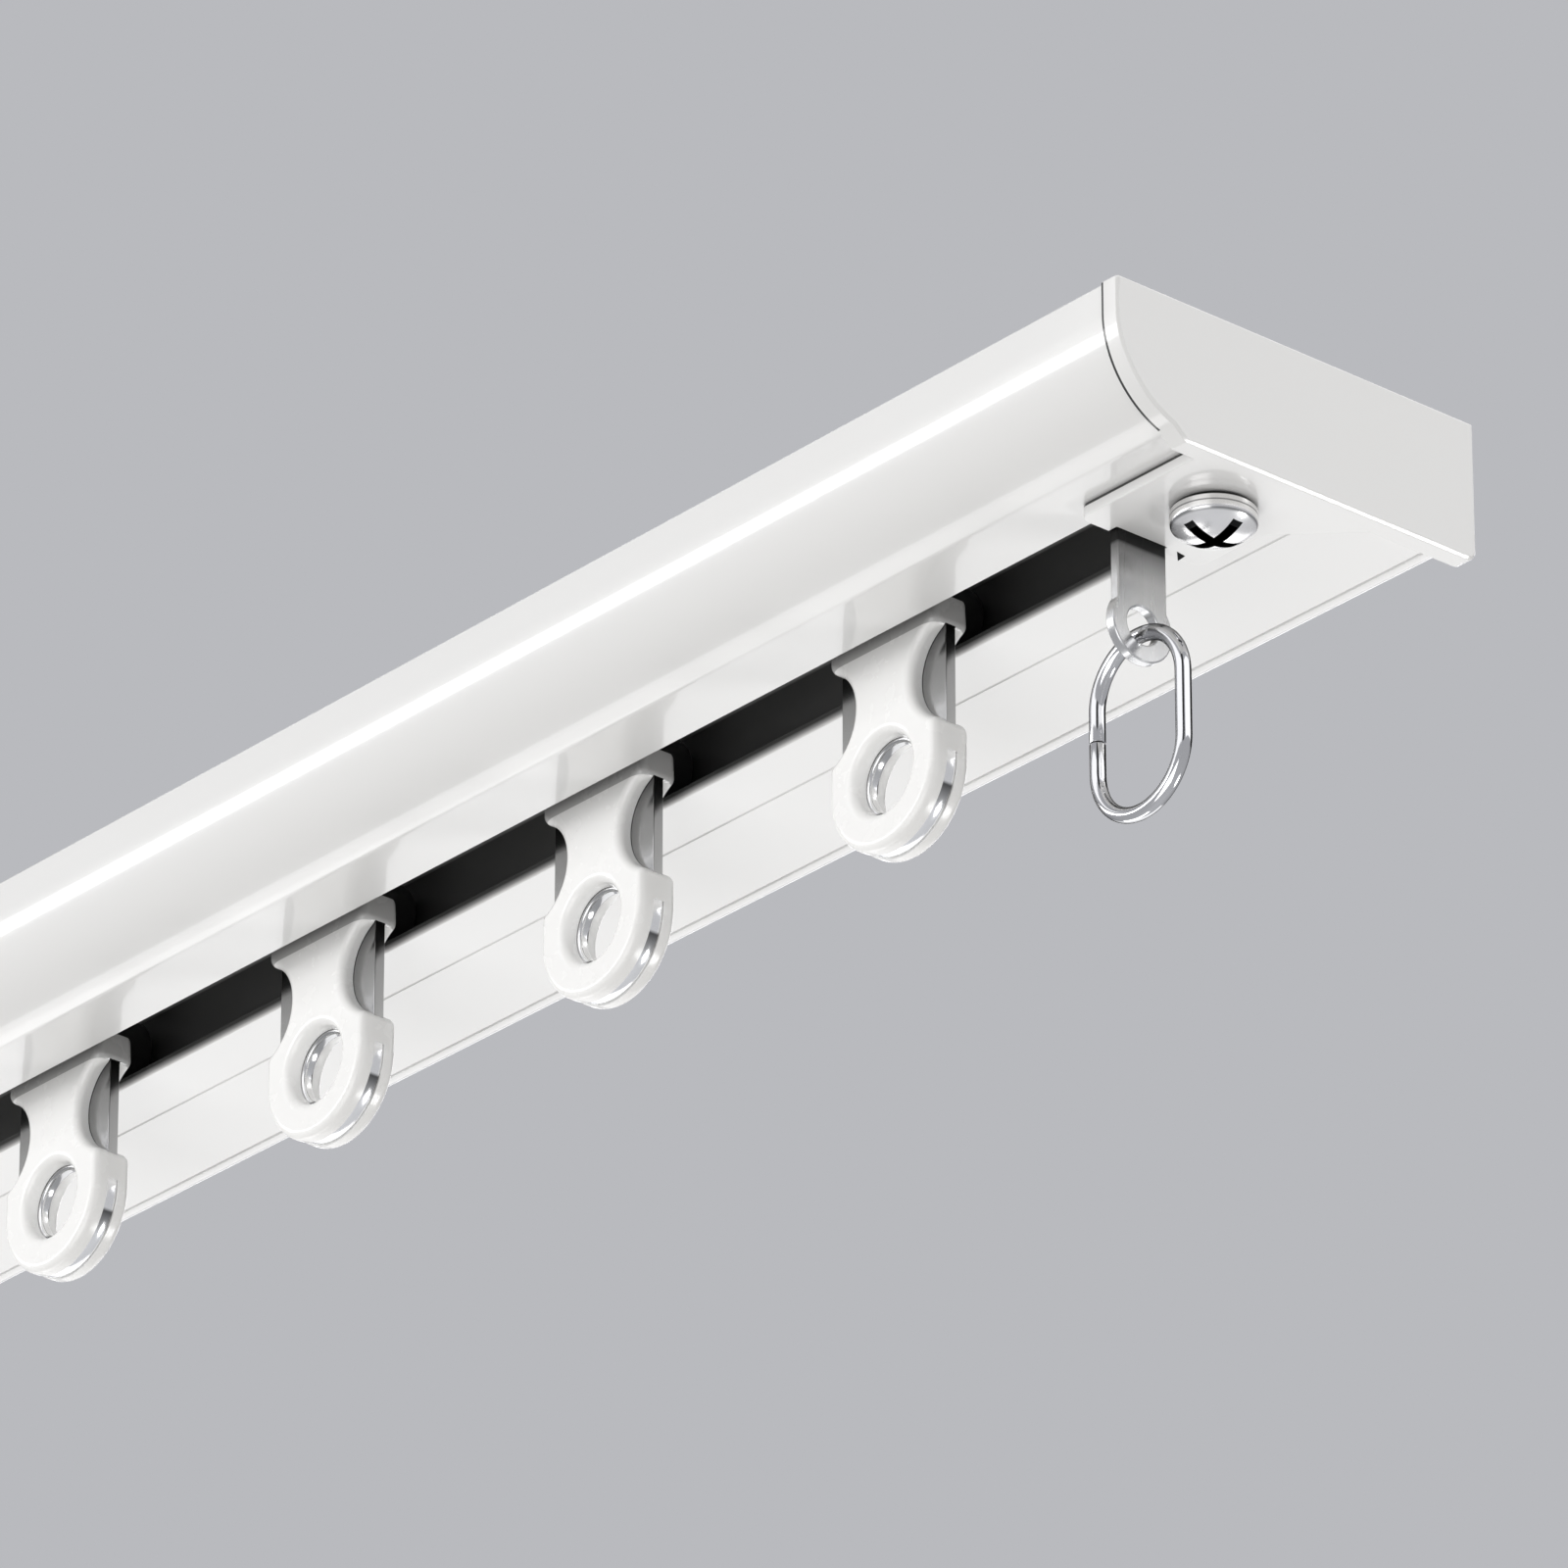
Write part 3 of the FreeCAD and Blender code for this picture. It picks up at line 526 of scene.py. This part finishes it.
def buildRail():
    end = track["railEnd"]
    bm = bmesh.new()
    drawSection(bm, -end)
    drawChambers(bm, -end)
    bmesh.ops.triangle_fill(bm, edges=bm.edges[:], use_beauty=True, use_dissolve=False)
    drawn = bmesh.ops.extrude_face_region(bm, geom=bm.faces[:])
    bmesh.ops.translate(bm, verts=vertsOf(drawn["geom"]), vec=place(2 * end, 0, 0))
    bmesh.ops.recalc_face_normals(bm, faces=bm.faces)
    atEnd = lambda e: all(abs(abs(v.co.x) - end * mm) < tiny for v in e.verts)
    roundEdges(bm, railSize["endRound"], 2, atEnd, least=60)
    bm = cutAway(bm, [ceilingHole(x) for x in railSize["screwHoles"]])
    finishPiece("railShell", bm, paint, "track", ["rail"], sharp=30)


buildRail()
print("rail made")

# end caps, strip, plate and nuts are the nodes' own shapes with softened edges
softening = {
    "corner": 60, "chamfer": 40,      # an edge that turns by more degrees than this counts as one
    "nodes": {
        # node: (material, slot, rounding of corners, rounding beside a chamfer)
        "end_cap_right": (capPlastic, "cap_plastic", 0.11, 0.04),
        "end_cap_left": (capPlastic, "cap_plastic", 0.11, 0.04),
        "clamp_strip": (stripSteel, "bright_steel", 0.10, 0.10),
        "clamp_plate": (stripSteel, "bright_steel", 0.10, 0.10),
        "clamp_nuts": (nickel, "nickel", 0.15, 0.15),
    },
}


def everyEdge(edge):
    return True


def buildSoftened():
    for node, (material, slot, width, fine) in softening["nodes"].items():
        bm = copyOfNode(node)
        roundEdges(bm, width, 2, everyEdge, least=softening["corner"])
        roundEdges(bm, fine, 2, everyEdge, least=softening["chamfer"])
        finishPiece(node + "_soft", bm, material, "track", [node])


buildSoftened()
print("end fittings made")

screwSize = {
    "crown": -16.0, "dome": 5.313, "domeSteps": 10,           # dome: radius
    "shoulderRound": 0.6, "shoulderSteps": 8,
    "half": 3.7, "slope": 0.3, "seat": -12.9, "shank": 1.95, "tip": -6.9, "steps": 72,
    "rimRound": 0.16, "rimLeast": 8, "overShoulder": 0.1,
    "armHalf": 2.9, "armWide": 0.525, "crossDeep": 1.7, "crossTaper": 0.62, "past": 0.4,
}


def crossCutter():
    s = screwSize
    a, b = s["armHalf"], s["armWide"]
    bm = bmesh.new()
    corners = []
    for turn in range(4):
        for x, y in ((a, -b), (a, b), (b, b)):
            point = Matrix.Rotation(turn * math.pi / 2, 3, "Z") @ Vector((x, y, 0))
            corners.append(bm.verts.new(place(point.x, point.y, s["crown"] - s["past"])))
    face = bm.faces.new(corners)
    deep = bmesh.ops.extrude_face_region(bm, geom=[face])
    inner = vertsOf(deep["geom"])
    bmesh.ops.translate(bm, verts=inner, vec=place(0, 0, s["crossDeep"] + s["past"]))
    bmesh.ops.scale(bm, verts=inner, vec=(s["crossTaper"], s["crossTaper"], 1))
    return bm


def buildScrews():
    # the dome runs into the round shoulder without a corner
    s = screwSize
    bend, inner = s["shoulderRound"], s["dome"] - s["shoulderRound"]
    turn = math.degrees(math.asin((s["half"] - bend) / inner))
    shoulder = s["crown"] + s["dome"] - inner * math.cos(math.radians(turn))
    rimFrom = (shoulder + s["overShoulder"]) * mm
    alongY = (0, 1, 0)
    for name, x in (("screwRight", track["screwX"]), ("screwLeft", -track["screwX"])):
        bm = bmesh.new()
        last = bm.verts.new(place(0, 0, s["crown"]))
        last = arcTo(bm, last, (0, 0, s["crown"] + s["dome"]), alongY, -turn, s["domeSteps"])
        last = arcTo(bm, last, (s["half"] - bend, 0, shoulder), alongY, turn - 90, s["shoulderSteps"])
        for away, z in ((s["half"], s["seat"] - s["slope"]), (s["half"] - s["slope"], s["seat"]),
                        (s["shank"], s["seat"]), (s["shank"], s["tip"]), (0, s["tip"])):
            last = lineTo(bm, last, away, 0, z)
        bmesh.ops.spin(bm, geom=bm.verts[:] + bm.edges[:], cent=(0, 0, 0), axis=(0, 0, 1),
                       angle=math.tau, steps=s["steps"], use_merge=True)
        bmesh.ops.remove_doubles(bm, verts=bm.verts, dist=tiny)
        bmesh.ops.recalc_face_normals(bm, faces=bm.faces)
        level = lambda e: abs(e.verts[0].co.z - e.verts[1].co.z) < tiny
        atRim = lambda e: level(e) and e.verts[0].co.z > rimFrom
        roundEdges(bm, s["rimRound"], 3, atRim, least=s["rimLeast"])
        bm = cutAway(bm, [crossCutter()])
        bmesh.ops.translate(bm, verts=bm.verts, vec=place(x, track["screwY"], 0))
        finishPiece(name, bm, nickel, "track", ["clamp_screws"], sharp=32)


buildScrews()
print("screws made")

ringSize = {
    "x": 144.5, "y": -0.6,
    "wire": 0.7, "wireSteps": 36, "bend": 5.25, "bendSteps": 44,      # radii
    "upper": -27.1, "lower": -32.8,                                   # centres of the two bends
    "seam": 0.1, "endRound": 0.05,                                    # gap between the wire's ends
}


def buildRing():
    s = ringSize
    middle = (s["upper"] + s["lower"]) / 2
    start = Matrix.Translation(place(s["x"] - s["bend"], s["y"], middle + s["seam"] / 2))
    bm = bmesh.new()
    bmesh.ops.create_circle(bm, cap_ends=False, radius=s["wire"] * mm, segments=s["wireSteps"],
                            matrix=start)

    def run(edges, height):
        drawn = bmesh.ops.extrude_edge_only(bm, edges=edges)["geom"]
        rise = height * mm - vertsOf(drawn)[0].co.z
        bmesh.ops.translate(bm, verts=vertsOf(drawn), vec=(0, 0, rise))
        return edgesOf(drawn)

    def halfTurn(edges, height):
        ends = list(dict.fromkeys(v for e in edges for v in e.verts))
        turned = bmesh.ops.spin(bm, geom=ends + edges, cent=place(s["x"], s["y"], height), axis=(0, 1, 0),
                                angle=math.pi, steps=s["bendSteps"])
        return edgesOf(turned["geom_last"])

    rim = halfTurn(run(bm.edges[:], s["upper"]), s["upper"])
    rim = halfTurn(run(rim, s["lower"]), s["lower"])
    run(rim, middle - s["seam"] / 2)
    bmesh.ops.holes_fill(bm, edges=[e for e in bm.edges if e.is_boundary], sides=0)
    bmesh.ops.recalc_face_normals(bm, faces=bm.faces)
    roundEdges(bm, s["endRound"], 2, everyEdge, least=60)
    finishPiece("ringWire", bm, brightWire, "end_ring", ["end_ring"])


buildRing()
print("ring made")

runnerSize = {
    "count": 4, "first": 113.75, "pitch": 38.1, "wheelRound": 0.3, "axleRound": 0.2,
    # plastic body
    "half": 6.8, "roundEnd": -23.45, "endSteps": 48, "head": -8.7,
    "thickHalf": 2.05, "edgeRound": 0.8, "edgeSteps": 7,
    "waist": 4.85, "waistSide": 8.5, "waistAt": -15.9, "waistSteps": 28,
    "cornerRound": 0.9, "cornerSteps": 8,
    "hole": 3.525, "mouth": 3.6, "flare": 0.85, "flareSteps": 8, "holeSteps": 72,
    # steel plate, and where the plastic opens round it
    "plateHalf": 6.66, "plateThick": 0.55, "plateGap": 0.05, "plateRound": 0.09,
    "shoulder": -9.9, "neck": 4.2, "neckAt": -8.3, "nip": 1.5, "top": -3.7,
    "windows": ((-32.0, -23.1), (-20.2, -11.5)),
    "eyelet": (-23.3, 3.15, 72), "eyeletRound": 0.3, "axle": (-6.9, 1.05, 24),      # height, radius, steps
    "pastFace": 0.4, "pastSide": 1,      # how far the cutters stand out
}


def thicken(bm, depth):
    # extrudes every face from its place at -depth to depth along Y
    drawn = bmesh.ops.extrude_face_region(bm, geom=bm.faces[:])
    bmesh.ops.translate(bm, verts=vertsOf(drawn["geom"]), vec=place(0, 2 * depth, 0))
    bmesh.ops.recalc_face_normals(bm, faces=bm.faces)


def bodyOutline():
    s = runnerSize
    y, f, alongY = -s["thickHalf"], s["cornerRound"], (0, 1, 0)
    across = s["waistSide"] - s["half"] + f
    tall = math.sqrt((s["waist"] + f) ** 2 - across ** 2)
    turn = math.degrees(math.atan2(tall, across))
    bm = bmesh.new()
    first = bm.verts.new(place(-s["half"], y, s["head"]))
    last = lineTo(bm, first, s["half"], y, s["head"])
    for side in (1, -1):
        start, stop = s["waistAt"] + side * tall, s["waistAt"] - side * tall
        last = lineTo(bm, last, side * s["half"], y, start)
        last = arcTo(bm, last, (side * (s["half"] - f), y, start), alongY, turn, s["cornerSteps"])
        last = arcTo(bm, last, (side * s["waistSide"], y, s["waistAt"]), alongY, -2 * turn, s["waistSteps"])
        last = arcTo(bm, last, (side * (s["half"] - f), y, stop), alongY, turn, s["cornerSteps"])
        if side > 0:
            last = lineTo(bm, last, s["half"], y, s["roundEnd"])
            last = arcTo(bm, last, (0, y, s["roundEnd"]), alongY, 180, s["endSteps"])
    bm.edges.new((last, first))
    bmesh.ops.contextual_create(bm, geom=bm.edges[:])
    return bm


def plateOpening():
    # the space of the steel plate and the two windows that bare its edge
    s = runnerSize
    (bottom, low), (high, top) = s["windows"]
    inner, outer = s["plateHalf"], s["half"] + s["pastSide"]
    right = [(outer, bottom), (outer, low), (inner, low), (inner, high), (outer, high), (outer, top),
             (inner, top), (inner, s["shoulder"]), (s["neck"], s["neckAt"]),
             (s["neck"], s["head"] + s["pastSide"])]
    corners = right + [(-x, z) for x, z in reversed(right)]
    gap = s["plateThick"] + s["plateGap"]
    bm = bmesh.new()
    bm.faces.new([bm.verts.new(place(x, -gap, z)) for x, z in corners])
    thicken(bm, gap)
    return bm


def eyeletCutter():
    s = runnerSize
    at, deep = s["eyelet"][0], s["plateThick"]
    face, out = s["thickHalf"], s["thickHalf"] + s["pastFace"]
    wide, curve = s["mouth"] + s["flare"], s["thickHalf"] - s["flare"]
    alongZ, steps = (0, 0, 1), s["flareSteps"]
    bm = bmesh.new()
    last = bm.verts.new(place(0, -out, at))
    last = lineTo(bm, last, wide, -out, at)
    last = lineTo(bm, last, wide, -face, at)
    last = arcTo(bm, last, (wide, -curve, at), alongZ, -90, steps)
    last = lineTo(bm, last, s["hole"], -deep, at)
    last = lineTo(bm, last, s["hole"], deep, at)
    last = lineTo(bm, last, s["mouth"], curve, at)
    last = arcTo(bm, last, (wide, curve, at), alongZ, -90, steps)
    last = lineTo(bm, last, wide, out, at)
    lineTo(bm, last, 0, out, at)
    bmesh.ops.spin(bm, geom=bm.verts[:] + bm.edges[:], cent=place(0, 0, at), axis=(0, 1, 0),
                   angle=math.tau, steps=s["holeSteps"], use_merge=True)
    bmesh.ops.remove_doubles(bm, verts=bm.verts, dist=tiny)
    return bm


def shapeBody():
    s = runnerSize
    bm = bodyOutline()
    thicken(bm, s["thickHalf"])
    onFace = lambda e: abs(e.verts[0].co.y - e.verts[1].co.y) < tiny
    roundEdges(bm, s["edgeRound"], s["edgeSteps"], onFace, least=60)
    return cutAway(bm, [eyeletCutter(), plateOpening()])


def shapePlate():
    s = runnerSize
    y, half, neck, nip = -s["plateThick"], s["plateHalf"], s["neck"], s["nip"]
    bm = bmesh.new()
    first = last = bm.verts.new(place(nip - neck, y, s["top"]))
    for x, z in ((neck - nip, s["top"]), (neck, s["top"] - nip), (neck, s["neckAt"]),
                 (half, s["shoulder"]), (half, s["roundEnd"])):
        last = lineTo(bm, last, x, y, z)
    last = arcTo(bm, last, (0, y, s["roundEnd"]), (0, 1, 0), 180, s["endSteps"])
    for x, z in ((half, s["shoulder"]), (neck, s["neckAt"]), (neck, s["top"] - nip)):
        last = lineTo(bm, last, -x, y, z)
    bm.edges.new((last, first))
    flat = Matrix.Rotation(math.pi / 2, 4, "X")
    for z, radius, steps in (s["eyelet"], s["axle"]):
        bmesh.ops.create_circle(bm, cap_ends=False, radius=radius * mm, segments=steps,
                                matrix=Matrix.Translation(place(0, y, z)) @ flat)
    bmesh.ops.triangle_fill(bm, edges=bm.edges[:], use_beauty=True, use_dissolve=False)
    thicken(bm, s["plateThick"])
    eyeZ, rim = s["eyelet"][0] * mm, s["eyelet"][1] * mm
    inEye = lambda e: all(math.hypot(v.co.x, v.co.z - eyeZ) < rim + tiny for v in e.verts)
    roundEdges(bm, s["eyeletRound"], 4, inEye, least=60)
    roundEdges(bm, s["plateRound"], 2, lambda e: not inEye(e), least=60)
    return bm


def movedCopy(mesh, x):
    bm = bmesh.new()
    bm.from_mesh(mesh)
    bmesh.ops.translate(bm, verts=bm.verts, vec=place(x, 0, 0))
    return bm


def buildRunners():
    # one body and one plate are drawn and copied; wheels and axles are the nodes' own, softened
    s = runnerSize
    bodyMesh, plateMesh = keptMesh("runnerBody", shapeBody()), keptMesh("runnerPlate", shapePlate())
    turning = (("axle", plateSteel, "plate_steel", s["axleRound"]),
               ("wheel_front", wheelPlastic, "wheel_plastic", s["wheelRound"]),
               ("wheel_rear", wheelPlastic, "wheel_plastic", s["wheelRound"]))
    for number in range(1, s["count"] + 1):
        at = s["first"] - (number - 1) * s["pitch"]
        body, wheels = f"runner_{number}", f"runner_{number}_wheels"
        finishPiece(f"runner_{number}_moulding", movedCopy(bodyMesh, at), runnerPlastic, body,
                    [f"runner_{number}_body"])
        finishPiece(f"runner_{number}_steel", movedCopy(plateMesh, at), plateSteel, body,
                    [f"runner_{number}_plate"])
        for part, material, slot, width in turning:
            node = f"runner_{number}_{part}"
            bm = copyOfNode(node)
            roundEdges(bm, width, 2, everyEdge)
            finishPiece(node + "_soft", bm, material, wheels, [node])


buildRunners()
print("runners made")

# small dark triangle on the tongue
markSize = {"corners": ((145.04, 3.3), (143.85, 4.49), (144.88, 4.36)), "thick": 0.02}


def buildMark():
    bm = bmesh.new()
    face = bm.faces.new([bm.verts.new(place(x, y, track["tongueFace"])) for x, y in markSize["corners"]])
    drawn = bmesh.ops.extrude_face_region(bm, geom=[face])
    bmesh.ops.translate(bm, verts=vertsOf(drawn["geom"]), vec=place(0, 0, -markSize["thick"]))
    bmesh.ops.recalc_face_normals(bm, faces=bm.faces)
    finishPiece("darkTriangle", bm, triangleBlack, "track")


buildMark()
print("mark made")

shot = {
    "place": (0.80635, -0.61065, -0.48230), "azimuth": 49.2, "elevation": -26.41,
    "lens": 280.9, "sensor": 36, "clip": (0.02, 100),
}


def buildCamera():
    camera = bpy.data.objects.new("shotCamera", bpy.data.cameras.new("shotCamera"))
    scene.collection.objects.link(camera)
    a, e = math.radians(shot["azimuth"]), math.radians(shot["elevation"])
    back = Vector((math.sin(a) * math.cos(e), -math.cos(a) * math.cos(e), math.sin(e)))
    right = Vector((math.cos(a), math.sin(a), 0))
    turn = Matrix((right, back.cross(right), back)).transposed()
    camera.matrix_world = Matrix.Translation(Vector(shot["place"])) @ turn.to_4x4()
    camera.data.lens, camera.data.sensor_width = shot["lens"], shot["sensor"]
    camera.data.clip_start, camera.data.clip_end = shot["clip"]
    scene.camera = camera


light = {
    "shown": (0.485, 0.491, 0.515),      # plain backdrop
    "worldLight": (0.59, 0.585, 0.575),
    # name: (place, size x, size y, watts)
    "lamps": {
        "longStrip": ((-1.02, -1.07, 0.29), 1.5, 0.28, 6.5),
        "frontBelow": ((0.45, -1.50, -0.85), 1.4, 1.2, 10.3),
        "foldStrip": ((-0.88, 0.12, -1.03), 0.42, 1.2, 2.9),
        "backBelow": ((-1.19, 1.05, -0.80), 2.0, 1.5, 9.9),
        "edgeBelow": ((0.86, 0.92, -0.97), 0.34, 0.34, 3.8),
        "edgeBehind": ((-0.93, 1.06, 0.77), 1.0, 1.0, 6.0),
        "panelRight": ((1.70, 0.46, 0.94), 2.6, 0.9, 7.6),
        "panelFront": ((-0.18, -1.76, 0.94), 2.6, 0.9, 7.0),
    },
    # black cards, which draw the dark lines in bright wire: over the camera, behind and to the left
    "cards": {
        "cardOver": ((0.81, -0.70, 0.62), 0.40, 0.9),
        "cardBehind": ((0.25, 1.41, 0.71), 1.4, 0.9),
        "cardLeft": ((-1.43, -0.08, 0.71), 0.9, 0.9),
    },
    "cardColour": (0.01, 0.01, 0.01), "cardGloss": 0.9,
    "floorDrop": -3.0, "floorHalf": 25.0,
    "floorColour": (0.57, 0.56, 0.54), "floorShown": (0.83, 0.85, 0.90), "floorGloss": 0.8,
}


def shownRay(tree):
    # 1 for the rays that show the background: from the camera, by a mirror or through something clear
    path = tree.nodes.new("ShaderNodeLightPath")
    total = path.outputs["Is Camera Ray"]
    for kind in ("Is Glossy Ray", "Is Transmission Ray"):
        add = tree.nodes.new("ShaderNodeMath")
        add.operation, add.use_clamp = "ADD", True
        tree.links.new(total, add.inputs[0])
        tree.links.new(path.outputs[kind], add.inputs[1])
        total = add.outputs["Value"]
    return total


def buildLight():
    world = bpy.data.worlds.new("studio")
    scene.world = world
    world.use_nodes = True
    tree = world.node_tree
    tree.nodes.clear()
    lit, shown = tree.nodes.new("ShaderNodeBackground"), tree.nodes.new("ShaderNodeBackground")
    lit.inputs["Color"].default_value = (*light["worldLight"], 1)
    shown.inputs["Color"].default_value = (*light["shown"], 1)
    mix, out = tree.nodes.new("ShaderNodeMixShader"), tree.nodes.new("ShaderNodeOutputWorld")
    tree.links.new(shownRay(tree), mix.inputs["Fac"])
    tree.links.new(lit.outputs["Background"], mix.inputs[1])
    tree.links.new(shown.outputs["Background"], mix.inputs[2])
    tree.links.new(mix.outputs["Shader"], out.inputs["Surface"])

    for name, (where, wide, tall, watts) in light["lamps"].items():
        lamp = bpy.data.lights.new(name, "AREA")
        lamp.shape, lamp.size, lamp.size_y, lamp.energy = "RECTANGLE", wide, tall, watts
        holder = bpy.data.objects.new(name, lamp)
        scene.collection.objects.link(holder)
        holder.location = where
        holder.rotation_mode = "QUATERNION"
        holder.rotation_quaternion = (-Vector(where)).to_track_quat("-Z", "Y")
        holder.visible_camera = False


def buildCards():
    material = startMaterial("cardBlack", light["cardColour"], 0, light["cardGloss"])[0]
    for name, (where, wide, tall) in light["cards"].items():
        turn = (-Vector(where)).to_track_quat("-Z", "Y").to_matrix().to_4x4()
        shape = Matrix.Diagonal((wide / 2, tall / 2, 1, 1))
        bm = bmesh.new()
        bmesh.ops.create_grid(bm, x_segments=1, y_segments=1, size=1,
                              matrix=Matrix.Translation(where) @ turn @ shape)
        card = bpy.data.objects.new(name, keptMesh(name, bm))
        card.data.materials.append(material)
        card.visible_camera = False
        scene.collection.objects.link(card)


def buildFloor():
    bm = bmesh.new()
    bmesh.ops.create_grid(bm, x_segments=1, y_segments=1, size=light["floorHalf"],
                          matrix=Matrix.Translation((0, 0, light["floorDrop"])))
    floor = bpy.data.objects.new("floor", keptMesh("floor", bm))
    material, tree, shader = startMaterial("floorPale", light["floorColour"], 0, light["floorGloss"])
    mix = tree.nodes.new("ShaderNodeMix")
    mix.data_type = "RGBA"
    mix.inputs["A"].default_value = (*light["floorColour"], 1)
    mix.inputs["B"].default_value = (*light["floorShown"], 1)
    tree.links.new(shownRay(tree), mix.inputs["Factor"])
    tree.links.new(mix.outputs["Result"], shader.inputs["Base Color"])
    floor.data.materials.append(material)
    scene.collection.objects.link(floor)


buildCamera()
buildLight()
buildCards()
buildFloor()
scene.view_settings.view_transform = "Standard"
print("camera, light and floor set")
